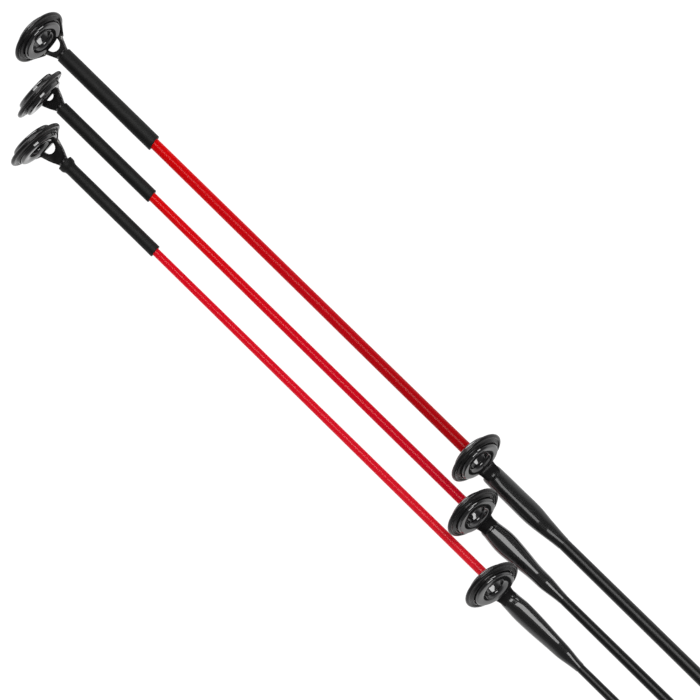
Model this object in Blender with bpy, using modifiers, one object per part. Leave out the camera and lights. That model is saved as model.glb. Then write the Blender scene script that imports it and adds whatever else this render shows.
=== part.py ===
"""Three push-in quiver tips for a feeder rod, laid side by side in order of strength.

Each tip is a thin tapered rod along X, with its tip at -X and its butt at +X. A tip-top
ring sits on the thin end, and three single-foot ring guides stand on the rod, each bound
on by a whipping. The rings stand up towards +Z. The origin is at the middle of the set's
footprint, on the surface it lies on.
"""
import math
from typing import NamedTuple

import bmesh
import bpy
from mathutils import Matrix, Vector

MM = 0.001

# Facets around a rod and around a ring.
ROD_SIDES = 16
RING_SIDES = 20

# Films of glue and varnish between neighbours.
FILM = 0.03 * MM
SPLICE_GAP = 0.05 * MM

# Ring: a flange with a beaded rim holds a pressed-in insert. Heights are along its axis.
RING_RADIUS = 3.55 * MM
RIM_RADIUS = 3.32 * MM
VALLEY_RADIUS = 2.98 * MM
SEAT_RADIUS = 2.66 * MM
RIM_HEIGHT = 0.28 * MM
VALLEY_HEIGHT = 0.19 * MM
SEAT_HEIGHT = 0.40 * MM

# Insert: a thick ring with rounded corners, which stands proud of the flange on both sides.
INSERT_RADIUS = SEAT_RADIUS - FILM
INSERT_LIP_RADIUS = 2.30 * MM
INSERT_MOUTH_RADIUS = 1.46 * MM
THROAT_RADIUS = 1.15 * MM
INSERT_SHOULDER = 0.45 * MM
INSERT_LIP = 0.86 * MM
THROAT_HEIGHT = 0.42 * MM

# Tip-top: a forked plate joins the tube to the ring's lower edge.
TIP_RING_HEIGHT = 2.9 * MM
FORK_THICKNESS = 0.46 * MM
FORK_HALF_WIDTH = 1.73 * MM
STEM_HALF_WIDTH = 0.86 * MM
TUBE_OVERLAP = 0.35 * MM
TUBE_PLUG = 0.8 * MM
TUBE_LENGTH = 12.0 * MM
SLEEVE_LENGTH = 14.7 * MM
COLLAR_LENGTH = 0.55 * MM
COLLAR_TAPER = 0.4 * MM

# Guides: the leaning ring, its neck and the foot under the whipping.
GUIDE_RING_HEIGHT = 4.7 * MM
GUIDE_STEPS = (75.0 * MM, 82.0 * MM)
NECK_WIDTH = 1.95 * MM
NECK_THICKNESS = 0.52 * MM
FOOT_WIDTH = 1.0 * MM
FOOT_THICKNESS = 0.30 * MM
FOOT_LENGTH = 7.6 * MM
FOOT_END_WIDTH = 0.7 * MM
FOOT_END_THICKNESS = 0.12 * MM
WHIPPING_START = 2.67 * MM
WHIPPING_COVER = 0.17 * MM
FOOT_COVER = 0.36 * MM

# Rod: a solid front section is spliced into the blank under the first whipping.
ROD_LENGTH = 305.0 * MM
SPLICE_DEPTH = 1.0 * MM
SPIGOT_LENGTH = 7.0 * MM
SPIGOT_RATIO = 0.55
BUTT_CHAMFER = 0.12 * MM


class Tip(NamedTuple):
    """One quiver tip. Lengths run from its tip ring's centre, along the rod."""
    ring_x: float           # where the tip ring stands in the set
    y: float
    tip_radius: float       # front section, where it leaves the sleeve
    splice_radius: float    # front section, at the first guide
    blank_radius: float     # blank, behind the first guide
    butt_radius: float
    sleeve_start: float
    sleeve_radius: float
    collar_radius: float    # flared end of the sleeve
    crotch_x: float         # bottom of the fork's window
    crotch_radius: float
    ring_lean: float        # tip ring: degrees its top leans forward
    ring_roll: float        # tip ring: degrees it is turned about the rod
    ring_yaw: float         # tip ring: degrees it is turned about the vertical
    first_guide: float
    guide_lean: float       # guides: degrees the tops of their rings lean forward
    guide_roll: float       # guides: degrees they are turned about the rod
    guide_yaw: float        # guides: degrees their rings are turned about the vertical
    whipping: tuple         # pairs: distance from the whipping's start, half-width
    red: tuple


TIPS = {
    "heavy": Tip(
        ring_x=0.0, y=4.53 * MM, tip_radius=0.645 * MM, splice_radius=0.75 * MM,
        blank_radius=0.70 * MM, butt_radius=1.20 * MM,
        sleeve_start=3.02 * MM, sleeve_radius=0.95 * MM, collar_radius=0.95 * MM,
        crotch_x=2.17 * MM, crotch_radius=0.84 * MM,
        ring_lean=16.0, ring_roll=10.7, ring_yaw=5.0,
        first_guide=69.7 * MM, guide_lean=18.6, guide_roll=0.0, guide_yaw=-1.7,
        whipping=((0.0, 1.04), (1.2, 1.18), (6.2, 1.19), (8.5, 0.96), (11.0, 0.82)),
        red=(0.56, 0.004, 0.006)),
    "medium": Tip(
        ring_x=4.7 * MM, y=0.0, tip_radius=0.535 * MM, splice_radius=0.61 * MM,
        blank_radius=0.56 * MM, butt_radius=1.15 * MM,
        sleeve_start=2.44 * MM, sleeve_radius=0.80 * MM, collar_radius=0.80 * MM,
        crotch_x=1.0 * MM, crotch_radius=0.60 * MM,
        ring_lean=-3.0, ring_roll=12.8, ring_yaw=1.0,
        first_guide=69.05 * MM, guide_lean=22.0, guide_roll=1.6, guide_yaw=-2.2,
        whipping=((0.0, 1.05), (2.0, 1.34), (4.0, 1.22), (6.7, 0.93), (9.0, 0.83), (11.3, 0.70)),
        red=(0.80, 0.004, 0.018)),
    "light": Tip(
        ring_x=8.4 * MM, y=-4.23 * MM, tip_radius=0.475 * MM, splice_radius=0.575 * MM,
        blank_radius=0.50 * MM, butt_radius=1.10 * MM,
        sleeve_start=3.47 * MM, sleeve_radius=0.74 * MM, collar_radius=0.97 * MM,
        crotch_x=1.72 * MM, crotch_radius=0.76 * MM,
        ring_lean=5.0, ring_roll=17.0, ring_yaw=-3.4,
        first_guide=72.6 * MM, guide_lean=22.7, guide_roll=3.4, guide_yaw=-5.0,
        whipping=((0.0, 0.96), (1.7, 1.16), (4.0, 1.10), (6.3, 0.95), (8.6, 0.82), (10.9, 0.66)),
        red=(0.86, 0.018, 0.030)),
}


def clear_scene():
    for item in list(bpy.data.objects):
        bpy.data.objects.remove(item, do_unlink=True)


def new_collection(name):
    collection = bpy.data.collections.new(name)
    bpy.context.scene.collection.children.link(collection)
    return collection


def material(name, colour, roughness, metallic=0.0):
    made = bpy.data.materials.new(name)
    made.use_nodes = True
    shader = made.node_tree.nodes["Principled BSDF"]
    shader.inputs["Base Color"].default_value = (*colour, 1.0)
    shader.inputs["Roughness"].default_value = roughness
    shader.inputs["Metallic"].default_value = metallic
    return made


def add_object(name, mesh, collection, finish=None):
    """An object of a mesh, shaded smooth except along its real edges."""
    if finish:
        mesh.materials.append(finish)
    if mesh.polygons:
        mesh.shade_smooth()
        mesh.set_sharp_from_angle(angle=math.radians(35))
    made = bpy.data.objects.new(name, mesh)
    collection.objects.link(made)
    return made


def turned(name, profile, sides, collection, finish=None, closed=False):
    """A turned piece along X. The profile's (radius, x) points run from +X to -X outside."""
    mesh = bpy.data.meshes.new(name)
    edges = [(i, i + 1) for i in range(len(profile) - 1)]
    if closed:
        edges.append((len(profile) - 1, 0))
    mesh.from_pydata([(radius, 0.0, x) for radius, x in profile], edges, [])
    made = add_object(name, mesh, collection, finish)
    made.rotation_euler = (0.0, math.pi / 2, 0.0)
    screw = made.modifiers.new("turn", "SCREW")
    screw.steps = screw.render_steps = sides
    screw.use_merge_vertices = True
    screw.merge_threshold = 1e-6
    screw.use_smooth_shade = True
    return made


def loft(name, sections, collection, finish=None):
    """A capped skin over rings of points, which all have the same count."""
    bm = bmesh.new()
    rings = [[bm.verts.new(point) for point in section] for section in sections]
    count = len(rings[0])
    for lower, upper in zip(rings, rings[1:]):
        for i in range(count):
            j = (i + 1) % count
            bm.faces.new((lower[i], lower[j], upper[j], upper[i]))
    bm.faces.new(rings[0])
    bm.faces.new(rings[-1])
    bmesh.ops.recalc_face_normals(bm, faces=bm.faces)
    mesh = bpy.data.meshes.new(name)
    bm.to_mesh(mesh)
    bm.free()
    return add_object(name, mesh, collection, finish)


def plate(name, outline, thickness, collection):
    """A flat plate with an (x, y) outline, half of its thickness on each side of z = 0."""
    curve = bpy.data.curves.new(name, "CURVE")
    curve.dimensions = "2D"
    curve.fill_mode = "BOTH"
    curve.extrude = thickness / 2
    spline = curve.splines.new("POLY")
    spline.points.add(len(outline) - 1)
    spline.use_cyclic_u = True
    for point, (x, y) in zip(spline.points, outline):
        point.co = (x, y, 0.0, 1.0)
    drawn = bpy.data.objects.new(name + "_outline", curve)
    collection.objects.link(drawn)
    mesh = bpy.data.meshes.new_from_object(drawn.evaluated_get(bpy.context.evaluated_depsgraph_get()))
    bpy.data.objects.remove(drawn, do_unlink=True)
    bm = bmesh.new()
    bm.from_mesh(mesh)
    bmesh.ops.remove_doubles(bm, verts=bm.verts, dist=1e-7)
    bmesh.ops.recalc_face_normals(bm, faces=bm.faces)
    bm.to_mesh(mesh)
    bm.free()
    return add_object(name, mesh, collection)


def combine(target, tool, operation):
    """Adds a Boolean to a target. The tool stays in the scene as a hidden wire shape."""
    tool.hide_render = True
    tool.display_type = "WIRE"
    cut = target.modifiers.new(tool.name, "BOOLEAN")
    cut.operation = operation
    cut.object = tool
    cut.solver = "EXACT"


def arc(centre, radius, start, end, steps):
    """Points along an arc in the plate's plane, with angles in degrees."""
    angles = [math.radians(start + (end - start) * i / steps) for i in range(steps + 1)]
    return [(centre[0] + radius * math.cos(a), centre[1] + radius * math.sin(a)) for a in angles]


def flange_profile():
    half = [
        (SEAT_RADIUS, SEAT_HEIGHT),
        (VALLEY_RADIUS, VALLEY_HEIGHT),
        (RIM_RADIUS, RIM_HEIGHT),
    ]
    mirrored = [(radius, -x) for radius, x in reversed(half)]
    return half + [(RING_RADIUS, 0.0)] + mirrored


def insert_profile():
    return [
        (INSERT_LIP_RADIUS, INSERT_LIP),
        (INSERT_RADIUS, INSERT_SHOULDER),
        (INSERT_RADIUS, -INSERT_SHOULDER),
        (INSERT_LIP_RADIUS, -INSERT_LIP),
        (INSERT_MOUTH_RADIUS, -INSERT_LIP),
        (THROAT_RADIUS, -THROAT_HEIGHT),
        (THROAT_RADIUS, THROAT_HEIGHT),
        (INSERT_MOUTH_RADIUS, INSERT_LIP),
    ]


def blank_radius_at(tip, x):
    """The blank tapers evenly from the splice to the butt."""
    start = tip.first_guide + WHIPPING_START
    share = (x - start) / (ROD_LENGTH - start)
    return tip.blank_radius + (tip.butt_radius - tip.blank_radius) * share


def splice_x(tip):
    return tip.first_guide + WHIPPING_START + SPLICE_DEPTH


def tube_radii(tip):
    """Outer and inner radius of the tip-top's tube, which the sleeve is shrunk over."""
    outer = tip.sleeve_radius - 0.17 * MM
    return outer, outer - 0.15 * MM


def place_ring(made, centre, lean, yaw=0.0):
    """Stands a turned ring up at a centre, with its top leaning towards -X."""
    made.location = centre
    turn = Matrix.Rotation(yaw, 4, "Z") @ Matrix.Rotation(math.pi / 2 - lean, 4, "Y")
    made.rotation_euler = turn.to_euler()


def build_front_section(name, tip, parts, finish):
    """The red solid rod, from inside the tip-top's tube to a spigot in the blank."""
    core = tube_radii(tip)[1] - FILM
    core_start = tip.sleeve_start + TUBE_PLUG + FILM
    step_x = tip.sleeve_start + TUBE_LENGTH + SPLICE_GAP
    end_x = splice_x(tip)
    spigot = SPIGOT_RATIO * tip.blank_radius
    profile = [
        (0.0, end_x + SPIGOT_LENGTH),
        (spigot, end_x + SPIGOT_LENGTH),
        (spigot, end_x),
        (tip.splice_radius, end_x),
        (tip.tip_radius, step_x),
        (core, step_x),
        (core, core_start),
        (0.0, core_start),
    ]
    return turned(name, profile, ROD_SIDES, parts, finish)


def build_blank(name, tip, parts, finish):
    """The black rod, from a socket at the splice to a plain butt."""
    start = splice_x(tip) + SPLICE_GAP
    socket = SPIGOT_RATIO * tip.blank_radius + FILM
    socket_end = start + SPIGOT_LENGTH + SPLICE_GAP
    profile = [
        (0.0, ROD_LENGTH),
        (tip.butt_radius - BUTT_CHAMFER, ROD_LENGTH),
        (tip.butt_radius, ROD_LENGTH - BUTT_CHAMFER),
        (blank_radius_at(tip, start), start),
        (socket, start),
        (socket, socket_end),
        (0.0, socket_end),
    ]
    return turned(name, profile, ROD_SIDES, parts, finish)


def build_sleeve(name, tip, parts, finish):
    """The shrunk tube over the tip-top's tube and the rod's end."""
    bore = tube_radii(tip)[0] + FILM
    start = tip.sleeve_start
    end = start + SLEEVE_LENGTH
    profile = [(bore, end), (tip.sleeve_radius, end)]
    if tip.collar_radius > tip.sleeve_radius:
        profile += [
            (tip.sleeve_radius, start + COLLAR_LENGTH + COLLAR_TAPER),
            (tip.collar_radius, start + COLLAR_LENGTH),
        ]
    profile += [(tip.collar_radius, start), (bore, start)]
    return turned(name, profile, ROD_SIDES, parts, finish, closed=True)


def fork_outline(tip):
    """The forked plate: two arms from the ring's edge, and a stem that ends at the tube."""
    front = TIP_RING_HEIGHT * math.tan(math.radians(tip.ring_lean))
    end = tip.sleeve_start - FILM
    stem = min(STEM_HALF_WIDTH, tip.collar_radius - FILM)
    waist_x = front + (end - front) * 0.6
    waist = stem + (FORK_HALF_WIDTH - stem) * 0.3
    right = [(end, stem), (waist_x, waist), (front, FORK_HALF_WIDTH), (front, tip.crotch_radius)]
    left = [(x, -y) for x, y in reversed(right)]
    window = arc((tip.crotch_x - tip.crotch_radius, 0.0), tip.crotch_radius, 90, -90, 8)
    return right + window + left


def build_tip_top(name, tip, parts, tools, finish, insert_finish):
    """The tip ring's frame and insert, which turn together about the rod."""
    lean = math.radians(tip.ring_lean)
    yaw = math.radians(tip.ring_yaw)
    centre = (0.0, 0.0, TIP_RING_HEIGHT)
    frame = turned(name + "_frame", flange_profile(), RING_SIDES, parts, finish, closed=True)
    place_ring(frame, centre, lean, yaw)
    insert = turned(name + "_ring", insert_profile(), RING_SIDES, parts, insert_finish, closed=True)
    place_ring(insert, centre, lean, yaw)
    fork = plate(name + "_fork", fork_outline(tip), FORK_THICKNESS, tools)
    outer, bore = tube_radii(tip)
    tube_end = tip.sleeve_start + TUBE_LENGTH
    tube_profile = [
        (0.0, tip.sleeve_start + TUBE_PLUG),
        (bore, tip.sleeve_start + TUBE_PLUG),
        (bore, tube_end),
        (outer, tube_end),
        (outer, tip.sleeve_start - TUBE_OVERLAP),
        (0.0, tip.sleeve_start - TUBE_OVERLAP),
    ]
    tube = turned(name + "_tube", tube_profile, ROD_SIDES, tools)
    combine(frame, fork, "UNION")
    combine(frame, tube, "UNION")
    pivot = bpy.data.objects.new(name + "_pivot", None)
    parts.objects.link(pivot)
    pivot.rotation_euler = (math.radians(tip.ring_roll), 0.0, 0.0)
    for made in (frame, insert, fork, tube):
        made.parent = pivot
    return pivot


def leg_sections(rod_radius, lean, grow):
    """Rectangular sections of a guide's neck and foot, from the flange to the foot's end.

    They are around a path in the XZ plane, whose x starts at the ring's centre and whose z
    starts at the rod's axis. Grow makes the same shape bigger all round, as a cutter.
    """
    down = Vector((math.sin(lean), 0.0, -math.cos(lean)))
    centre = Vector((0.0, 0.0, GUIDE_RING_HEIGHT))
    sole = rod_radius + FILM
    foot_z = sole + FOOT_THICKNESS / 2
    end_z = sole + FOOT_END_THICKNESS / 2
    root = centre + down * VALLEY_RADIUS
    rim = centre + down * RING_RADIUS
    heel = Vector((WHIPPING_START - 0.1 * MM, 0.0, foot_z))
    knee = (rim + heel) / 2 + Vector((0.1 * MM, 0.0, 0.02 * MM))
    path = [
        (root, NECK_WIDTH * 1.25, NECK_THICKNESS * 0.6),
        (rim, NECK_WIDTH, NECK_THICKNESS),
        (knee, NECK_WIDTH * 0.9, NECK_THICKNESS * 0.8),
        (heel, FOOT_WIDTH, FOOT_THICKNESS),
        (Vector((WHIPPING_START + FOOT_LENGTH * 0.5, 0.0, foot_z)), FOOT_WIDTH, FOOT_THICKNESS),
        (Vector((WHIPPING_START + FOOT_LENGTH, 0.0, end_z)), FOOT_END_WIDTH, FOOT_END_THICKNESS),
    ]
    points = [point for point, _, _ in path]
    sections = []
    for i, (point, width, thickness) in enumerate(path):
        before = points[max(i - 1, 0)]
        after = points[min(i + 1, len(points) - 1)]
        along = (after - before).normalized()
        if i >= 3:
            along = Vector((1.0, 0.0, 0.0))
        across = Vector((0.0, width / 2 + grow, 0.0))
        up = Vector((-along.z, 0.0, along.x)) * (thickness / 2 + grow)
        slide = along * grow * (1 if i == len(path) - 1 else 0)
        sections.append([
            point + slide + across + up, point + slide - across + up,
            point + slide - across - up, point + slide + across - up,
        ])
    return sections


def foot_thickness_at(x):
    """The foot is even to its middle and then thins out, measured from the whipping's start."""
    share = min(max(2 * x / FOOT_LENGTH - 1, 0.0), 1.0)
    return FOOT_THICKNESS + (FOOT_END_THICKNESS - FOOT_THICKNESS) * share


def whipping_sections(tip, rod_radius, first_radius):
    """Egg-shaped sections: higher above, where the whipping passes over the foot."""
    sections = []
    for distance, half_width in tip.whipping:
        x = distance * MM
        bottom = rod_radius + WHIPPING_COVER
        top = rod_radius + foot_thickness_at(x) + FOOT_COVER if x < FOOT_LENGTH + MM else bottom
        side = half_width * MM + rod_radius - first_radius
        ring = []
        for i in range(ROD_SIDES):
            angle = 2 * math.pi * i / ROD_SIDES
            height = math.sin(angle)
            reach = top if height > 0 else bottom
            ring.append(Vector((WHIPPING_START + x, side * math.cos(angle), reach * height)))
        sections.append(ring)
    return sections


def build_guide(name, tip, x, parts, tools, finishes):
    """One single-foot guide: its frame, its insert and the whipping over its foot."""
    whipping_length = tip.whipping[-1][0] * MM
    rod_radius = blank_radius_at(tip, x + WHIPPING_START + whipping_length)
    first_radius = blank_radius_at(tip, tip.first_guide + WHIPPING_START + whipping_length)
    if x == tip.first_guide:
        rod_radius = max(rod_radius, tip.splice_radius)
        first_radius = rod_radius
    centre = (0.0, 0.0, GUIDE_RING_HEIGHT)
    frame = turned(name + "_frame", flange_profile(), RING_SIDES, parts, finishes["frame"], closed=True)
    lean = math.radians(tip.guide_lean)
    yaw = math.radians(tip.guide_yaw)
    place_ring(frame, centre, lean, yaw)
    insert = turned(name + "_ring", insert_profile(), RING_SIDES, parts, finishes["ring"], closed=True)
    place_ring(insert, centre, lean, yaw)
    leg = loft(name + "_leg", leg_sections(rod_radius, lean, 0.0), tools)
    combine(frame, leg, "UNION")
    wrap = loft(name + "_whipping", whipping_sections(tip, rod_radius, first_radius), parts,
                finishes["whipping"])
    far = WHIPPING_START + whipping_length + 1.0 * MM
    near = WHIPPING_START - 1.0 * MM
    rod = turned(
        name + "_rod_space",
        [(0.0, far), (rod_radius + FILM, far), (rod_radius + FILM, near), (0.0, near)],
        ROD_SIDES, tools)
    foot = loft(name + "_foot_space", leg_sections(rod_radius, lean, FILM), tools)
    combine(wrap, rod, "DIFFERENCE")
    combine(wrap, foot, "DIFFERENCE")
    stand = bpy.data.objects.new(name + "_stand", None)
    parts.objects.link(stand)
    stand.location = (x, 0.0, 0.0)
    stand.rotation_euler = (math.radians(tip.guide_roll), 0.0, 0.0)
    for made in (frame, insert, leg, wrap, rod, foot):
        made.parent = stand
    return stand


def build_tip(name, tip, parts, tools, finishes):
    """One whole quiver tip, on an empty at its tip ring, on the rod's axis."""
    red = material(name + "_red_lacquer", tip.red, 0.18)
    pieces = [
        build_front_section(name + "_tip_section", tip, parts, red),
        build_blank(name + "_blank", tip, parts, finishes["blank"]),
        build_sleeve(name + "_sleeve", tip, parts, finishes["sleeve"]),
        build_tip_top(name + "_tip_top", tip, parts, tools, finishes["frame"], finishes["ring"]),
    ]
    x = tip.first_guide
    for number, step in enumerate((0.0, *GUIDE_STEPS), start=1):
        x += step
        pieces.append(build_guide(f"{name}_guide_{number}", tip, x, parts, tools, finishes))
    holder = bpy.data.objects.new(name + "_tip_holder", None)
    parts.objects.link(holder)
    holder.location = (tip.ring_x, tip.y, 0.0)
    for piece in pieces:
        piece.parent = holder
    return holder


def stand_on_origin(root, parts):
    """Moves the set so that the origin is at the middle of its footprint, on the surface."""
    graph = bpy.context.evaluated_depsgraph_get()
    graph.update()
    points = []
    for made in parts.objects:
        if made.type == "MESH":
            evaluated = made.evaluated_get(graph)
            points += [evaluated.matrix_world @ vertex.co for vertex in evaluated.data.vertices]
    low = Vector([min(point[i] for point in points) for i in range(3)])
    high = Vector([max(point[i] for point in points) for i in range(3)])
    root.location = (-(low.x + high.x) / 2, -(low.y + high.y) / 2, -low.z)


def main():
    clear_scene()
    parts = new_collection("quiver_tip_set")
    tools = new_collection("cutters")
    finishes = {
        "blank": material("carbon_black", (0.012, 0.012, 0.013), 0.30),
        "sleeve": material("shrink_black", (0.010, 0.010, 0.011), 0.55),
        "frame": material("black_coated_steel", (0.014, 0.014, 0.015), 0.30, 0.4),
        "ring": material("dark_ceramic", (0.020, 0.020, 0.022), 0.12),
        "whipping": material("varnished_thread", (0.010, 0.010, 0.011), 0.12),
    }
    root = bpy.data.objects.new("set_origin", None)
    parts.objects.link(root)
    for name, tip in TIPS.items():
        build_tip(name, tip, parts, tools, finishes).parent = root
    stand_on_origin(root, parts)


main()
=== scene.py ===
import math
from typing import NamedTuple

import bmesh
import bpy
from mathutils import Matrix, Vector, noise


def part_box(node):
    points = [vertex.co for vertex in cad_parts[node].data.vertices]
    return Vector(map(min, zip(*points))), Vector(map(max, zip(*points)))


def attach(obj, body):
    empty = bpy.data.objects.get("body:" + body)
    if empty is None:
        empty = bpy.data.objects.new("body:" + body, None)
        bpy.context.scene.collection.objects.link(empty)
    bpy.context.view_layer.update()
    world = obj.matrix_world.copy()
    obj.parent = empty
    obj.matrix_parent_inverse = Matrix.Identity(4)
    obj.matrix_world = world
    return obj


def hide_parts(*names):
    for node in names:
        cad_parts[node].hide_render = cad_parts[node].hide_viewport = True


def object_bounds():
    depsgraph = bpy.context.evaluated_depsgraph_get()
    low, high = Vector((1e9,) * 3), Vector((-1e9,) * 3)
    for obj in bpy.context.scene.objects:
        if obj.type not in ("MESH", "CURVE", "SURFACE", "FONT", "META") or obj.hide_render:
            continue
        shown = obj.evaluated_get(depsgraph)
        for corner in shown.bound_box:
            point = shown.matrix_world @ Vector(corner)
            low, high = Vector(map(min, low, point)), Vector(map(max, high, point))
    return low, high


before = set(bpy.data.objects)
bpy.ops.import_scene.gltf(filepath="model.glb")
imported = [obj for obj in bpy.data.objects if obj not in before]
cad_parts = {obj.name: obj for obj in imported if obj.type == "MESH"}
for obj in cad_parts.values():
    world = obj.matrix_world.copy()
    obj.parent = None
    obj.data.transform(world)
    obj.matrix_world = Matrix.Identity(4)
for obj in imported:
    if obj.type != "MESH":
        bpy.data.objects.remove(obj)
cad_low, cad_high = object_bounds()

# Shapes are worked out in millimetres and become metres when a piece is made.
MM = 0.001

# Flange: half of its section, as (radius, height) from the seat of the insert to the rolled rim.
FLANGE_HALF = ((2.66, 0.0), (2.66, 0.38), (2.70, 0.45), (2.77, 0.46), (2.84, 0.41), (2.90, 0.27),
               (2.97, 0.18), (3.06, 0.165))
RIM_BEAD = 0.27
RIM_BEAD_RADIUS = 3.28

# Insert: a thick ring with rounded corners, the inner ones larger.
INSERT_RADIUS = 2.60
INSERT_HEIGHT = 0.86
INSERT_OUTER_CORNER = 0.25
INSERT_INNER_CORNER = (0.85, 0.48)
THROAT_RADIUS = 1.20

RING_STEPS = 96
VOXEL = 0.055
KEEP_FACES = 0.35
SHARP_ANGLE = 48

# Gap kept between pieces that touch.
GAP = 0.03

# Guides, whose heights are above the rod's axis.
FOOT_LENGTH = 7.6
FOOT_THICKNESS = 0.30
FOOT_END_THICKNESS = 0.12
WHIPPING_START = 2.67
WHIPPING_COVER = 0.17
FOOT_COVER = 0.36
WHIPPING_LEAD = 0.10
WHIPPING_EXTRA = 0.05
WHIPPING_SHIFT = -0.07
CREST_FALL = 0.14
DROP_HEIGHT = 0.44
DROP_RATIO = 0.8
DROP_THICKNESS = 0.2
WHIPPING_NOSE = 0.6
NOSE_NARROWING = 0.14
NOSE_LOWERING = 0.34
FADE_BEFORE_FOOT_END = 0.6
FADE_LENGTH = 2.0
THIN_LENGTH = 3.0

# Neck of a guide, as (distance below the ring's centre, width, thickness), and the knee under it.
NECK = ((2.72, 4.2, 0.26), (3.0, 3.7, 0.30), (3.3, 3.0, 0.40), (3.55, 2.5, 0.46))
KNEE_BEHIND = 0.55
KNEE_LIFT = 0.27
KNEE_SHARE = 0.25

# Tip-tops.
FORK_THICKNESS = 0.46
FORK_HALF_WIDTH = 1.73
STEM_HALF_WIDTH = 0.86
ARM_WIDTH = 0.70
WING_HALF = 0.13
# Spots on the tip-top's fork that get a painted silvery highlight, and how far it spreads.
PAINTED_HIGHLIGHT_PLACE = (1.4, 1.4, 0.15)
PAINTED_HIGHLIGHT_REACH = 0.5
TUBE_LENGTH = 12.0
TUBE_WALL = 0.15
SLEEVE_WALL = 0.17
SLEEVE_LIP = 0.03
FLARE_END = 0.78
FLARE_SOFTNESS = 0.07
SLANT_LENGTH = 3.0

# Splice of the front section in the blank.
SPIGOT_LENGTH = 7.0
SPIGOT_RATIO = 0.55
BUTT_EDGE = 0.14

# The camera looks almost straight down, a little towards the tips.
CAMERA_DISTANCE = 700.0
CAMERA_TILT = (0.31, 5.12, 44.37)
CAMERA_LENS = 315.2
AIM_BEHIND_TIP = 50.47
AIM_BESIDE_MEDIUM = 3.30


class Tip(NamedTuple):
    """What the frame's boxes can't say about one quiver tip, in millimetres and degrees."""
    tip_radius: float
    splice_radius: float
    blank_radius: float
    sleeve_radius: float
    crotch_x: float          # bottom of the fork's window, behind the ring's centre
    crotch_radius: float
    lean: float              # how the tip ring stands
    yaw: float
    wing_radius: float       # where the fork's wings leave the flange
    guide_lean: float        # how the guide rings stand
    guide_yaw: float
    sleeve_cut: float        # slant of the sleeve's end
    ridge: float             # how far the whipping's crest lies off the axis
    whipping: tuple          # distance from the whipping's start, half-width, squareness
    crest: float             # where the whipping reaches its full height
    drop: tuple              # place and size of a drop of varnish on the neck, or nothing
    varnish: tuple           # roughness and strength of the whipping's varnish
    lacquer: float           # strength of the red's clear coat
    reds: tuple              # colour at the tip, at the middle and at the guide


TIPS = {
    "heavy": Tip(
        tip_radius=0.645, splice_radius=0.75, blank_radius=0.70, sleeve_radius=0.95,
        crotch_x=2.17, crotch_radius=0.84, lean=16.0, yaw=5.0, wing_radius=3.35,
        guide_lean=18.6, guide_yaw=-1.7, sleeve_cut=8.0, ridge=-0.22,
        whipping=((0.0, 1.16, 2.1), (1.2, 1.18, 2.0), (3.5, 1.19, 1.9), (6.2, 1.19, 1.9),
                  (8.5, 0.96, 2.0), (11.0, 0.78, 2.0)),
        crest=0.4, drop=(), varnish=(0.09, 0.5), lacquer=0.06,
        reds=((0.80, 0.001, 0.002), (0.62, 0.002, 0.008), (0.42, 0.001, 0.003))),
    "medium": Tip(
        tip_radius=0.535, splice_radius=0.61, blank_radius=0.56, sleeve_radius=0.80,
        crotch_x=1.0, crotch_radius=0.60, lean=-3.0, yaw=1.0, wing_radius=2.7,
        guide_lean=22.0, guide_yaw=-2.2, sleeve_cut=8.0, ridge=0.08,
        whipping=((0.0, 1.12, 2.4), (2.0, 1.34, 2.3), (4.0, 1.22, 2.2), (6.7, 0.93, 2.1),
                  (9.0, 0.83, 2.0), (11.3, 0.64, 2.0)),
        crest=0.05, drop=(), varnish=(0.07, 1.0), lacquer=0.12,
        reds=((0.86, 0.002, 0.004), (0.80, 0.002, 0.014), (0.62, 0.003, 0.020))),
    "light": Tip(
        tip_radius=0.475, splice_radius=0.575, blank_radius=0.50, sleeve_radius=0.74,
        crotch_x=1.72, crotch_radius=0.76, lean=5.0, yaw=-3.4, wing_radius=3.3,
        guide_lean=22.7, guide_yaw=-5.0, sleeve_cut=4.0, ridge=0.34,
        whipping=((0.0, 1.06, 2.4), (1.7, 1.16, 2.4), (4.0, 1.10, 2.3), (6.3, 0.95, 2.2),
                  (8.6, 0.82, 2.0), (10.9, 0.60, 2.0)),
        crest=0.8, drop=(-0.22, 0.40, 0.34), varnish=(0.07, 1.0), lacquer=0.12,
        reds=((0.86, 0.003, 0.016), (0.86, 0.006, 0.022), (0.84, 0.016, 0.030))),
}


# Shapes

def curve_through(points, steps):
    """Points along a smooth curve through the given ones, which are tuples of one length."""
    found = []
    for i in range(len(points) - 1):
        second, third = points[i], points[i + 1]
        first = points[i - 1] if i else second
        fourth = points[i + 2] if i + 2 < len(points) else third
        for k in range(steps):
            t = k / steps
            found.append(tuple(
                0.5 * (2 * b + (c - a) * t + (2 * a - 5 * b + 4 * c - d) * t ** 2
                       + (3 * b - a - 3 * c + d) * t ** 3)
                for a, b, c, d in zip(first, second, third, fourth)))
    found.append(tuple(points[-1]))
    return found


def arc(centre, radii, start, end, steps):
    """Points along an ellipse's arc, with angles in degrees."""
    angles = [math.radians(start + (end - start) * i / steps) for i in range(steps + 1)]
    return [(centre[0] + radii[0] * math.cos(a), centre[1] + radii[1] * math.sin(a)) for a in angles]


def skin(rows, joined=False):
    """A closed mesh over rows of points, each a closed loop. Joined rows make a ring, others get caps."""
    bm = bmesh.new()
    grid = [[bm.verts.new(point) for point in row] for row in rows]
    count = len(rows[0])
    pairs = list(zip(grid, grid[1:]))
    if joined:
        pairs.append((grid[-1], grid[0]))
    else:
        bm.faces.new(grid[0])
        bm.faces.new(grid[-1])
    for one, other in pairs:
        for i in range(count):
            j = (i + 1) % count
            bm.faces.new((one[i], one[j], other[j], other[i]))
    bmesh.ops.recalc_face_normals(bm, faces=bm.faces)
    mesh = bpy.data.meshes.new("skin")
    bm.to_mesh(mesh)
    bm.free()
    return mesh


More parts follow.
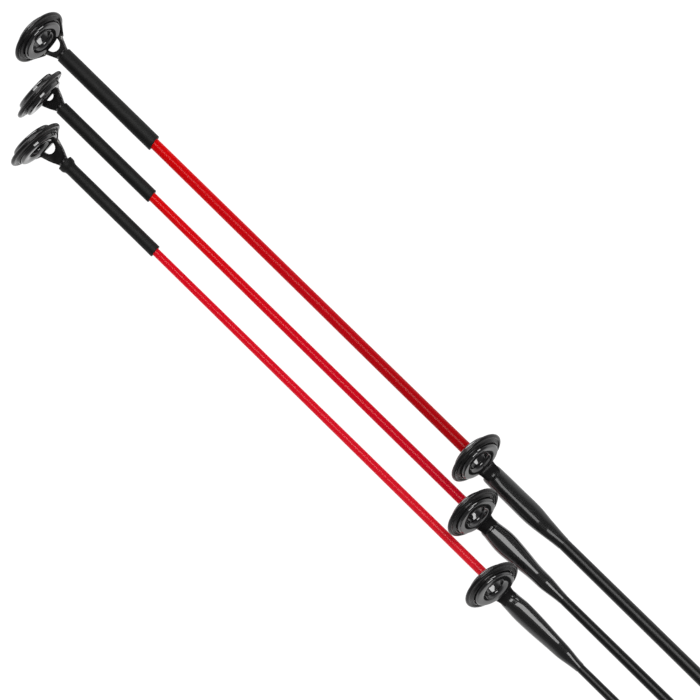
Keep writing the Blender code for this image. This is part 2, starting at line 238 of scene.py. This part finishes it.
def around(axis, profile, sides, wobble=None):
    """Loops round a rod along X, for a profile of (x, radius) pairs."""
    rows = []
    for x, radius in profile:
        row = []
        for i in range(sides):
            angle = 2 * math.pi * i / sides
            reach = radius * (1.0 + (wobble(x, angle) if wobble else 0.0))
            row.append(Vector((x, axis.y + reach * math.cos(angle), axis.z + reach * math.sin(angle))))
        rows.append(row)
    return rows


def spun(profile, place):
    """A turned ring. The profile's (radius, height) points are a closed loop, and place stands it up."""
    rows = []
    for i in range(RING_STEPS):
        angle = 2 * math.pi * i / RING_STEPS
        rows.append([place @ Vector((height, radius * math.sin(angle), radius * math.cos(angle)))
                     for radius, height in profile])
    return skin(rows, joined=True)


def squared_loop(centre, across, up, squareness, count, ridge=0.0, down=None):
    """A loop between an ellipse and a rectangle. Ridge moves its crest sideways."""
    down = up if down is None else down
    loop = []
    for i in range(count):
        angle = 2 * math.pi * i / count
        c, s = math.cos(angle), math.sin(angle)
        side = math.copysign(abs(c) ** (2 / squareness), c)
        rise = math.copysign(abs(s) ** (2 / squareness), s)
        reach = up if s > 0 else down
        lift = max(rise, 0.0) ** 1.5
        loop.append(centre + across * side + reach * rise + across.normalized() * ridge * lift)
    return loop


def fused(meshes):
    """One skin over overlapping closed meshes, with its inner corners softened."""
    bm = bmesh.new()
    for mesh in meshes:
        bm.from_mesh(mesh)
        bpy.data.meshes.remove(mesh)
    joined = bpy.data.meshes.new("joined")
    bm.to_mesh(joined)
    bm.free()
    body = bpy.data.objects.new("joined", joined)
    bpy.context.scene.collection.objects.link(body)
    remesh = body.modifiers.new("remesh", "REMESH")
    remesh.mode = "VOXEL"
    remesh.voxel_size = VOXEL
    smooth = body.modifiers.new("smooth", "SMOOTH")
    smooth.factor = 0.5
    smooth.iterations = 4
    decimate = body.modifiers.new("decimate", "DECIMATE")
    decimate.ratio = KEEP_FACES
    graph = bpy.context.evaluated_depsgraph_get()
    made = bpy.data.meshes.new_from_object(body.evaluated_get(graph))
    bpy.data.objects.remove(body)
    bpy.data.meshes.remove(joined)
    return made


# Materials

class Finish:
    """A material built node by node. Positions in it are in millimetres."""

    def __init__(self, name):
        self.material = bpy.data.materials.new(name)
        self.material.use_nodes = True
        self.tree = self.material.node_tree
        self.tree.nodes.clear()
        coordinates = self.tree.nodes.new("ShaderNodeTexCoord")
        self.place = self.add("VectorMath", {0: coordinates.outputs["Object"], 1: (1 / MM,) * 3},
                              operation="MULTIPLY")

    def add(self, kind, inputs, output=0, **settings):
        node = self.tree.nodes.new("ShaderNode" + kind)
        for key, value in settings.items():
            setattr(node, key, value)
        for key, value in inputs.items():
            if isinstance(value, bpy.types.NodeSocket):
                self.tree.links.new(value, node.inputs[key])
            else:
                node.inputs[key].default_value = value
        return node.outputs[output]

    def stretched(self, scales):
        return self.add("VectorMath", {0: self.place, 1: scales}, operation="MULTIPLY")

    def noise(self, scale, detail=3.0, where=None, roughness=0.55):
        return self.add("TexNoise", {"Vector": where or self.place, "Scale": scale, "Detail": detail,
                                     "Roughness": roughness})

    def span(self, value, low, high):
        """A value from 0 to 1, spread over low to high."""
        return self.add("MapRange", {"Value": value, "To Min": low, "To Max": high})

    def ramp(self, factor, stops):
        output = self.add("ValToRGB", {"Fac": factor})
        elements = output.node.color_ramp.elements
        while len(elements) < len(stops):
            elements.new(0.5)
        for element, (position, colour) in zip(elements, stops):
            element.position = position
            element.color = (*colour, 1.0)
        return output

    def bump(self, height, distance, normal=None, strength=1.0):
        inputs = {"Height": height, "Distance": distance * MM, "Strength": strength}
        if normal:
            inputs["Normal"] = normal
        return self.add("Bump", inputs)

    def shade(self, **inputs):
        """Ends the material with a Principled shader, whose inputs have underscores for spaces."""
        named = {key.replace("_", " "): value for key, value in inputs.items()}
        surface = self.add("BsdfPrincipled", named)
        output = self.tree.nodes.new("ShaderNodeOutputMaterial")
        self.tree.links.new(surface, output.inputs["Surface"])
        return self.material


def red_lacquer(name, tip, start, end):
    """Clear-coated red, its colour darker towards the guide."""
    make = Finish(name + "_red_lacquer")
    x = make.add("SeparateXYZ", {"Vector": make.place})
    along = make.add("MapRange", {"Value": x, "From Min": start, "From Max": end})
    cloud = make.noise(0.35, 2.0)
    drift = make.add("Math", {0: make.span(cloud, -0.12, 0.12), 1: along}, operation="ADD")
    base = make.ramp(drift, list(zip((0.0, 0.45, 1.0), tip.reds)))
    grain = make.noise(3.0, 4.0, make.stretched((0.25, 1.0, 1.0)))
    shaded = make.add("HueSaturation", {"Color": base, "Value": make.span(grain, 0.98, 1.02)})
    return make.shade(
        Base_Color=shaded,
        Roughness=make.span(make.noise(1.4), 0.20, 0.30),
        Normal=make.bump(cloud, 0.004),
        Specular_IOR_Level=0.05,
        Coat_Weight=tip.lacquer,
        Coat_Roughness=0.12)


def carbon_black():
    """Sanded and clear-coated carbon, with faint streaks along the rod."""
    make = Finish("carbon_black")
    streak = make.noise(2.2, 5.0, make.stretched((0.03, 1.0, 1.0)))
    cloud = make.noise(0.5, 3.0)
    base = make.ramp(streak, ((0.30, (0.003, 0.003, 0.003)), (0.70, (0.009, 0.009, 0.0085))))
    return make.shade(
        Base_Color=base,
        Roughness=make.span(cloud, 0.30, 0.42),
        Normal=make.bump(streak, 0.010),
        Specular_IOR_Level=0.20,
        Coat_Weight=0.13,
        Coat_Roughness=0.25)


def shrink_black():
    """Satin heat-shrink, slightly grainy."""
    make = Finish("shrink_black")
    grain = make.noise(9.0, 4.0)
    wave = make.noise(0.8, 2.0)
    base = make.ramp(wave, ((0.3, (0.003, 0.003, 0.003)), (0.7, (0.006, 0.006, 0.0055))))
    return make.shade(
        Base_Color=base,
        Roughness=make.span(grain, 0.48, 0.62),
        Normal=make.bump(grain, 0.012),
        Specular_IOR_Level=0.20)


def black_coated_steel():
    """Gunmetal plating, with a silvery highlight painted into its colour where the frame was brazed."""
    make = Finish("black_coated_steel")
    cloud = make.noise(1.3, 4.0)
    fine = make.noise(8.0, 4.0)
    plated = make.ramp(cloud, ((0.3, (0.016, 0.0155, 0.016)), (0.7, (0.030, 0.029, 0.029))))
    # Painted silvery highlight: silver is mixed into the plating's colour near the fork's collars.
    highlight_mask = make.add("Attribute", {}, output="Fac", attribute_name="painted_highlight")
    highlight_patch = make.add("Math", {0: highlight_mask, 1: make.span(fine, -0.3, 1.1)}, operation="MULTIPLY",
                     use_clamp=True)
    base = make.add("Mix", {"Factor": highlight_patch, 6: plated, 7: (0.62, 0.61, 0.58, 1.0)},
                    output=2, data_type="RGBA")
    return make.shade(
        Base_Color=base,
        Metallic=0.75,
        Roughness=make.span(fine, 0.22, 0.32),
        Normal=make.bump(cloud, 0.006))


def dark_ceramic():
    """Polished dark ring."""
    make = Finish("dark_ceramic")
    speck = make.noise(5.0, 3.0)
    base = make.ramp(speck, ((0.35, (0.006, 0.006, 0.0065)), (0.65, (0.014, 0.0135, 0.014))))
    return make.shade(
        Base_Color=base,
        Roughness=make.span(speck, 0.05, 0.10),
        Normal=make.bump(make.noise(0.9), 0.004),
        IOR=1.75)


def varnished_thread(name, roughness, strength):
    """Fine black thread under a thick flow of varnish."""
    make = Finish(name + "_varnished_thread")
    x = make.add("SeparateXYZ", {"Vector": make.place})
    phase = make.add("Math", {0: x, 1: 2 * math.pi / 0.13}, operation="MULTIPLY")
    thread = make.span(make.add("Math", {0: phase}, operation="SINE"), 0.0, 1.0)
    cloud = make.noise(1.1, 3.0)
    mixed = make.add("Math", {0: thread, 1: cloud}, operation="MULTIPLY")
    base = make.ramp(mixed, ((0.0, (0.003, 0.003, 0.003)), (0.7, (0.008, 0.008, 0.0075))))
    return make.shade(
        Base_Color=base,
        Roughness=make.span(cloud, 0.35, 0.5),
        Specular_IOR_Level=0.20,
        Normal=make.bump(thread, 0.008),
        Coat_Weight=strength,
        Coat_Roughness=roughness,
        Coat_Normal=make.bump(make.noise(0.7, 1.0), 0.02))


# Pieces

def piece(node, mesh, finish, body):
    """Makes one shown piece that stands for a CAD node, from a mesh in millimetres."""
    mesh.transform(Matrix.Scale(MM, 4))
    mesh.name = node + "_shown"
    mesh.materials.append(finish)
    mesh.shade_smooth()
    mesh.set_sharp_from_angle(angle=math.radians(SHARP_ANGLE))
    made = bpy.data.objects.new(node + "_shown", mesh)
    bpy.context.scene.collection.objects.link(made)
    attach(made, body)
    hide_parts(node)
    return made


def box(node):
    low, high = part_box(node)
    return low / MM, high / MM


def middle(node):
    low, high = box(node)
    return (low + high) / 2


def section_rows(axis, tip, name):
    """Front section: in the tip-top's tube, out of the sleeve, and down to its spigot."""
    low, high = box(name + "_tip_section")
    sleeve_low = box(name + "_sleeve")[0]
    core = tip.sleeve_radius - SLEEVE_WALL - TUBE_WALL - GAP
    step = sleeve_low.x + TUBE_LENGTH + 0.05
    end = high.x - SPIGOT_LENGTH
    spigot = SPIGOT_RATIO * tip.blank_radius
    profile = [(low.x, core * 0.3), (low.x, core), (step, core)]
    count = int((end - step) / 0.5)
    for i in range(count + 1):
        share = i / count
        profile.append((step + (end - step) * share,
                        tip.tip_radius + (tip.splice_radius - tip.tip_radius) * share))
    profile += [(end, spigot), (high.x, spigot), (high.x, spigot * 0.3)]

    def wobble(x, angle):
        return 0.0015 * noise.noise(Vector((x * 0.5, math.cos(angle), math.sin(angle) + axis.y)))

    return around(axis, profile, 48, wobble)


def blank_rows(axis, tip, name):
    """Blank: from its socket to its rounded butt, with faint flats along it."""
    low, high = box(name + "_blank")
    butt = (high.y - low.y) / 2
    socket = SPIGOT_RATIO * tip.blank_radius + GAP
    socket_end = low.x + SPIGOT_LENGTH + 0.05
    profile = [(socket_end, socket * 0.3), (socket_end, socket), (low.x, socket)]
    count = int((high.x - BUTT_EDGE - low.x) / 1.5)
    for i in range(count + 1):
        share = i / count
        profile.append((low.x + (high.x - BUTT_EDGE - low.x) * share,
                        tip.blank_radius + (butt - tip.blank_radius) * share))
    rounding = arc((butt - BUTT_EDGE, 0.0), (BUTT_EDGE, BUTT_EDGE), 20, 90, 5)
    profile += [(high.x - BUTT_EDGE + x, radius) for radius, x in rounding]
    profile.append((high.x, butt * 0.2))

    def wobble(x, angle):
        flats = 0.006 * math.cos(6 * angle + 0.01 * x)
        place = Vector((x * 0.2, 2 * math.cos(angle), 2 * math.sin(angle) + axis.y))
        return flats + 0.004 * noise.noise(place)

    return around(axis, profile, 64, wobble)


def sleeve_mesh(axis, tip, name):
    """Shrunk tube: on the tip-top's tube, then close on the rod, with a slanted rear cut."""
    low, high = box(name + "_sleeve")
    collar = (high.y - low.y) / 2
    radius = tip.sleeve_radius
    bore = radius - SLEEVE_WALL + GAP
    grip = tip.tip_radius + 0.02
    length = high.x - low.x
    edge = 0.06
    inner = [(SLEEVE_LIP, bore), (TUBE_LENGTH, bore), (TUBE_LENGTH + 0.7, grip),
             (length - SLEEVE_LIP, grip)]
    outer = [(length, grip + edge)]
    outer += [(length - edge + edge * math.sin(a), radius - edge + edge * math.cos(a))
              for a in (1.4, 0.9, 0.4, 0.0)]
    steps = 70
    for i in range(1, steps):
        x = (length - edge) * (1 - i / steps)
        flare = 0.0
        if collar > radius + 0.05:
            flare = (collar - radius) / (1 + math.exp((x - FLARE_END) / FLARE_SOFTNESS))
        outer.append((x, radius + flare))
    outer += [(edge, collar), (edge * 0.3, collar - edge * 0.3), (0.0, collar - edge)]
    profile = inner + outer
    slant = math.tan(math.radians(tip.sleeve_cut))
    rows = []
    sides = 64
    for i in range(sides):
        angle = 2 * math.pi * i / sides
        row = []
        for x, reach in profile:
            place = Vector((x * 0.45, 1.2 * math.cos(angle), 1.2 * math.sin(angle) + axis.y))
            wave = 1.0 + 0.012 * noise.noise(place)
            weight = min(max((x - length + SLANT_LENGTH) / SLANT_LENGTH, 0.0), 1.0)
            shift = -slant * radius * math.cos(angle) * weight
            row.append(Vector((low.x + x + shift, axis.y + reach * wave * math.cos(angle),
                               axis.z + reach * wave * math.sin(angle))))
        rows.append(row)
    return skin(rows, joined=True)


def flange_profile():
    half = list(FLANGE_HALF) + arc((RIM_BEAD_RADIUS, 0.0), (RIM_BEAD, RIM_BEAD), 135, 0, 12)
    return half + [(radius, -height) for radius, height in reversed(half[1:-1])]


def insert_profile():
    inner = THROAT_RADIUS + INSERT_INNER_CORNER[0]
    outer = INSERT_RADIUS - INSERT_OUTER_CORNER
    half = arc((inner, INSERT_HEIGHT - INSERT_INNER_CORNER[1]), INSERT_INNER_CORNER, 180, 90, 12)
    half += arc((outer, INSERT_HEIGHT - INSERT_OUTER_CORNER), (INSERT_OUTER_CORNER,) * 2, 90, 0, 10)
    return half + [(radius, -height) for radius, height in reversed(half)]


def upright(lean, yaw=0.0):
    return (Matrix.Rotation(math.radians(yaw), 4, "Z")
            @ Matrix.Rotation(-math.radians(lean), 4, "Y"))


def wing(tip, height, side):
    """One gusset from the flange's flank to an arm of the fork, in the tip-top's own frame."""
    front = height * math.tan(math.radians(tip.lean))
    place = Matrix.Translation((0, 0, height)) @ upright(tip.lean, tip.yaw)
    steps, width = 14, 8
    grid = []
    for k in range(steps + 1):
        t = k / steps
        mids = []
        for j in range(width + 1):
            v = j / width
            angle = math.radians(95 + 55 * v)
            start = place @ Vector((0.08, side * tip.wing_radius * math.sin(angle),
                                    tip.wing_radius * math.cos(angle)))
            end = Vector((front + 0.75 - 0.40 * v, side * (1.45 + 0.12 * v), 0.0))
            mids.append(start.lerp(end, t))
        grid.append(mids)
    rows = []
    for k, mids in enumerate(grid):
        before, after = grid[max(k - 1, 0)], grid[min(k + 1, steps)]
        normals = [(after[j] - before[j]).cross(mids[min(j + 1, width)] - mids[max(j - 1, 0)]).normalized()
                   for j in range(width + 1)]
        rows.append([m + n * WING_HALF for m, n in zip(mids, normals)]
                    + [m - n * WING_HALF for m, n in reversed(list(zip(mids, normals)))])
    return skin(rows)


def fork_plate(tip, height, end):
    """The forked plate with its stem, in the tip-top's own frame."""
    front = height * math.tan(math.radians(tip.lean))
    waist_x = front + (end - front) * 0.6
    waist = STEM_HALF_WIDTH + (FORK_HALF_WIDTH - STEM_HALF_WIDTH) * 0.3
    stem = min(STEM_HALF_WIDTH, tip.sleeve_radius - SLEEVE_WALL)
    side = curve_through([(front, FORK_HALF_WIDTH), (waist_x, waist), (end, stem), (end + 1.0, stem)], 6)
    window = arc((tip.crotch_x - tip.crotch_radius, 0.0), (tip.crotch_radius,) * 2, -90, 90, 24)
    outline = [(x, -y) for x, y in side]
    mouth = FORK_HALF_WIDTH - ARM_WIDTH
    outline = list(reversed(outline)) + [(front - 0.1, -mouth)] + window
    outline += [(front - 0.1, mouth)] + side
    half = FORK_THICKNESS / 2
    return skin([[Vector((x, y, z)) for x, y in outline] for z in (-half, half)])


def tip_top_mesh(tip, name):
    """Flange, wings, fork and tube of a tip-top, as one skin."""
    axis = middle(name + "_blank")
    centre = middle(name + "_tip_top_ring")
    sleeve = box(name + "_sleeve")[0].x
    height = math.hypot(centre.y - axis.y, centre.z - axis.z)
    roll = math.atan2(axis.y - centre.y, centre.z - axis.z)
    pivot = Matrix.Translation((centre.x, axis.y, axis.z)) @ Matrix.Rotation(roll, 4, "X")
    ring = pivot @ Matrix.Translation((0, 0, height)) @ upright(tip.lean, tip.yaw)
    end = sleeve - centre.x
    parts = [fork_plate(tip, height, end), wing(tip, height, 1), wing(tip, height, -1)]
    for part in parts:
        part.transform(pivot)
    outer = tip.sleeve_radius - SLEEVE_WALL
    plug = sleeve + 0.8
    tube = [(sleeve - 0.3, outer * 0.3), (sleeve - 0.3, outer), (sleeve + TUBE_LENGTH, outer),
            (sleeve + TUBE_LENGTH, outer - TUBE_WALL), (plug, outer - TUBE_WALL), (plug, outer * 0.3)]
    parts.append(skin(around(axis, tube, 48)))
    parts.append(spun(flange_profile(), ring))
    made = fused(parts)
    # Marks the points near the fork's collars that get the painted silvery highlight.
    back, aside, above = PAINTED_HIGHLIGHT_PLACE
    beads = [pivot @ Vector((back, side * aside, above)) for side in (-1, 1)]
    painted_highlight = made.attributes.new("painted_highlight", "FLOAT", "POINT")
    for vertex, value in zip(made.vertices, painted_highlight.data):
        near = min((vertex.co - bead).length for bead in beads)
        value.value = max(0.0, 1.0 - near / PAINTED_HIGHLIGHT_REACH)
    return made, ring


def whipping_top(x, rod):
    share = min(max(2 * x / FOOT_LENGTH - 1, 0.0), 1.0)
    foot = FOOT_THICKNESS + (FOOT_END_THICKNESS - FOOT_THICKNESS) * share
    blend = min(max((x - FOOT_LENGTH + FADE_BEFORE_FOOT_END) / FADE_LENGTH, 0.0), 1.0)
    blend = blend * blend * (3 - 2 * blend)
    return rod + (foot + FOOT_COVER) * (1 - blend) + WHIPPING_COVER * blend


def guide_rod_radius(tip, name, number):
    low, high = box(name + "_blank")
    butt = (high.y - low.y) / 2
    x = box(f"{name}_guide_{number}_whipping")[1].x
    share = (x - low.x) / (high.x - low.x)
    radius = tip.blank_radius + (butt - tip.blank_radius) * share
    return max(radius, tip.splice_radius) if number == 1 else radius


def guide_frame_mesh(tip, name, number):
    """Flange, neck and foot of a single-foot guide, as one skin."""
    axis = middle(name + "_blank")
    centre = middle(f"{name}_guide_{number}_ring")
    rod = guide_rod_radius(tip, name, number)
    height = math.hypot(centre.y - axis.y, centre.z - axis.z)
    roll = math.atan2(axis.y - centre.y, centre.z - axis.z)
    pivot = Matrix.Translation((centre.x, axis.y, axis.z)) @ Matrix.Rotation(roll, 4, "X")
    sole = rod + GAP
    foot = sole + FOOT_THICKNESS / 2
    lean = math.radians(tip.guide_lean)
    stations = []
    for down, width, thick in NECK:
        stations.append((down * math.sin(lean), height - down * math.cos(lean), width, thick))
    rim = stations[-1]
    knee_x = rim[0] + KNEE_BEHIND
    stations += [
        (knee_x, foot + KNEE_LIFT + (rim[1] - foot - KNEE_LIFT) * KNEE_SHARE, 2.15, 0.46),
        (2.55, foot + 0.04, 2.0, 0.36),
        (3.1, foot, 1.3, FOOT_THICKNESS),
        (3.8, foot, 1.0, FOOT_THICKNESS),
        (WHIPPING_START + FOOT_LENGTH / 2, foot, 1.0, FOOT_THICKNESS),
        (WHIPPING_START + FOOT_LENGTH, sole + FOOT_END_THICKNESS / 2, 0.7, FOOT_END_THICKNESS),
    ]
    path = curve_through(stations, 6)
    rows = []
    for i, (x, z, width, thick) in enumerate(path):
        before, after = path[max(i - 1, 0)], path[min(i + 1, len(path) - 1)]
        along = Vector((after[0] - before[0], 0.0, after[1] - before[1])).normalized()
        across = Vector((0.0, width / 2, 0.0))
        up = Vector((-along.z, 0.0, along.x)) * (thick / 2)
        rows.append(squared_loop(Vector((x, 0.0, z)), across, up, 3.0, 24))
    leg = skin(rows)
    leg.transform(pivot)
    ring = pivot @ Matrix.Translation((0, 0, height)) @ upright(tip.guide_lean, tip.guide_yaw)
    return fused([leg, spun(flange_profile(), ring)]), ring


def whipping_mesh(tip, name, number):
    """Varnished binding: over the neck's base and the foot, and thinning out on to the rod."""
    axis = middle(name + "_blank")
    low, high = box(f"{name}_guide_{number}_whipping")
    rod = guide_rod_radius(tip, name, number)
    first = guide_rod_radius(tip, name, 1)
    rows = []
    lead = tip.whipping[0]
    stations = [(-WHIPPING_LEAD, lead[1], lead[2])] + list(tip.whipping)
    path = curve_through(stations, 10)
    length = tip.whipping[-1][0]
    for x, half, square in path:
        side = half + rod - first + WHIPPING_EXTRA
        rise = min(max(x / tip.crest, 0.0), 1.0)
        top = whipping_top(max(x, 0.0), rod) - CREST_FALL * (1 - rise * rise * (3 - 2 * rise))
        bottom = rod + WHIPPING_COVER
        near = min(max((x - length + THIN_LENGTH) / THIN_LENGTH, 0.0), 1.0)
        thin = near * near
        side += (rod + 0.02 - side) * thin
        top += (rod + 0.02 - top) * thin
        bottom += (rod + 0.02 - bottom) * thin
        ridge = tip.ridge * (1 - near) * min(1.0, (x + WHIPPING_LEAD) / 1.5)
        point = Vector((low.x + x, axis.y + WHIPPING_SHIFT * (1 - near), axis.z))
        rows.append(squared_loop(point, Vector((0, side, 0)), Vector((0, 0, top)), square, 48, ridge,
                                 Vector((0, 0, bottom))))
    start = rows[0]
    centre = Vector((start[0].x, axis.y, axis.z))
    for angle in (20, 40, 60, 80):
        fall = 1 - math.cos(math.radians(angle))
        back = WHIPPING_NOSE * math.sin(math.radians(angle))
        rows.insert(0, [centre + Vector((-back, (point.y - centre.y) * (1 - NOSE_NARROWING * fall),
                                         (point.z - centre.z) * (1 - NOSE_LOWERING * fall)))
                        for point in start])
    inner_end = [(high.x, rod + 0.005), (low.x - WHIPPING_LEAD - WHIPPING_NOSE, rod + 0.005)]
    rows += around(axis, inner_end, 48)
    wrap = skin(rows, joined=True)
    return with_drop(wrap, tip, Vector((low.x, axis.y, axis.z + rod))) if tip.drop else wrap


def with_drop(wrap, tip, start):
    """Adds the drop of varnish, which stands on the whipping's nose."""
    x, y, size = tip.drop
    bm = bmesh.new()
    bm.from_mesh(wrap)
    place = (Matrix.Translation(start + Vector((x, y, DROP_HEIGHT)))
             @ Matrix.Diagonal((size, size * DROP_RATIO, DROP_THICKNESS, 1.0)))
    bmesh.ops.create_uvsphere(bm, u_segments=32, v_segments=20, radius=1.0, matrix=place)
    bm.to_mesh(wrap)
    bm.free()
    return wrap


def build_tip(name, tip, finishes):
    body = name + "_tip"
    axis = middle(name + "_blank")
    section = name + "_tip_section"
    start = box(name + "_sleeve")[1].x
    end = box(name + "_guide_1_whipping")[0].x
    red = red_lacquer(name, tip, start, end)
    piece(section, skin(section_rows(axis, tip, name)), red, body)
    piece(name + "_blank", skin(blank_rows(axis, tip, name)), finishes["blank"], body)
    piece(name + "_sleeve", sleeve_mesh(axis, tip, name), finishes["sleeve"], body)
    mesh, ring = tip_top_mesh(tip, name)
    piece(name + "_tip_top_frame", mesh, finishes["steel"], body)
    piece(name + "_tip_top_ring", spun(insert_profile(), ring), finishes["ceramic"], body)
    varnish = varnished_thread(name, *tip.varnish)
    for number in (1, 2, 3):
        guide = f"{name}_guide_{number}"
        mesh, ring = guide_frame_mesh(tip, name, number)
        piece(guide + "_frame", mesh, finishes["steel"], body)
        piece(guide + "_ring", spun(insert_profile(), ring), finishes["ceramic"], body)
        piece(guide + "_whipping", whipping_mesh(tip, name, number), varnish, body)


# Stage

def build_floor():
    floor_mesh = bpy.data.meshes.new("floor")
    bm = bmesh.new()
    bmesh.ops.create_grid(bm, x_segments=1, y_segments=1, size=3.0)
    bm.to_mesh(floor_mesh)
    bm.free()
    floor = bpy.data.objects.new("floor", floor_mesh)
    floor.location.z = cad_low.z - 0.02 * MM
    make = Finish("floor")
    tone = make.ramp(make.noise(0.02), ((0.4, (0.13, 0.13, 0.13)), (0.6, (0.15, 0.15, 0.15))))
    floor_mesh.materials.append(make.shade(
        Base_Color=tone, Roughness=0.9, Specular_IOR_Level=0.1,
        Emission_Color=(1.0, 1.0, 1.0, 1.0), Emission_Strength=1.0))
    bpy.context.scene.collection.objects.link(floor)


def build_world():
    """A soft white room, darker overhead than at the horizon."""
    world = bpy.data.worlds.new("studio")
    bpy.context.scene.world = world
    world.use_nodes = True
    tree = world.node_tree
    tree.nodes.clear()
    coordinates = tree.nodes.new("ShaderNodeTexCoord")
    split = tree.nodes.new("ShaderNodeSeparateXYZ")
    ramp = tree.nodes.new("ShaderNodeValToRGB")
    background = tree.nodes.new("ShaderNodeBackground")
    output = tree.nodes.new("ShaderNodeOutputWorld")
    ramp.color_ramp.elements[0].position = 0.05
    ramp.color_ramp.elements[0].color = (0.90, 0.90, 0.92, 1)
    middle_tone = ramp.color_ramp.elements.new(0.35)
    middle_tone.color = (0.22, 0.22, 0.225, 1)
    ramp.color_ramp.elements[2].position = 0.95
    ramp.color_ramp.elements[2].color = (0.11, 0.11, 0.115, 1)
    tree.links.new(coordinates.outputs["Generated"], split.inputs[0])
    tree.links.new(split.outputs["Z"], ramp.inputs["Fac"])
    tree.links.new(ramp.outputs[0], background.inputs["Color"])
    tree.links.new(background.outputs[0], output.inputs["Surface"])


def build_light(name, aim, direction, half_angles, radiance):
    """A rectangular light a metre away, given as it is seen from the tips."""
    light = bpy.data.lights.new(name, "AREA")
    light.shape = "RECTANGLE"
    light.size, light.size_y = (2 * math.tan(math.radians(angle)) for angle in half_angles)
    light.energy = radiance * math.pi * light.size * light.size_y
    lamp = bpy.data.objects.new(name, light)
    lamp.location = aim * MM + direction.normalized()
    lamp.rotation_euler = direction.to_track_quat("Z", "Y").to_euler()
    lamp.visible_camera = False
    bpy.context.scene.collection.objects.link(lamp)
    return lamp


def build_lights(aim):
    """A softbox overhead, and a window beyond the tips, which only the polished faces mirror."""
    build_light("softbox", aim, Vector((0.0, 0.105, 1.0)), (17, 14), 6.5)
    window = build_light("window", aim, Vector((-0.76, 0.36, 0.54)), (26, 13), 7.0)
    window.visible_diffuse = False


def build_camera(aim):
    tilt_x, tilt_y, turn = (math.radians(angle) for angle in CAMERA_TILT)
    facing = (Matrix.Rotation(tilt_x, 4, "X") @ Matrix.Rotation(tilt_y, 4, "Y")
              @ Matrix.Rotation(turn, 4, "Z"))
    data = bpy.data.cameras.new("camera")
    data.lens = CAMERA_LENS
    data.sensor_width = 36.0
    data.clip_start, data.clip_end = 0.01, 20.0
    camera = bpy.data.objects.new("camera", data)
    away = Matrix.Translation((0, 0, CAMERA_DISTANCE * MM))
    camera.matrix_world = Matrix.Translation(aim * MM) @ facing @ away
    bpy.context.scene.collection.objects.link(camera)
    bpy.context.scene.camera = camera


def main():
    finishes = {
        "blank": carbon_black(),
        "sleeve": shrink_black(),
        "steel": black_coated_steel(),
        "ceramic": dark_ceramic(),
    }
    for name, tip in TIPS.items():
        build_tip(name, tip, finishes)
    heavy_ring = middle("heavy_tip_top_ring")
    medium_axis = middle("medium_blank")
    aim = Vector((heavy_ring.x + AIM_BEHIND_TIP, medium_axis.y + AIM_BESIDE_MEDIUM, medium_axis.z))
    build_floor()
    build_world()
    build_lights(aim)
    build_camera(aim)
    bpy.context.scene.view_settings.view_transform = "Standard"


main()
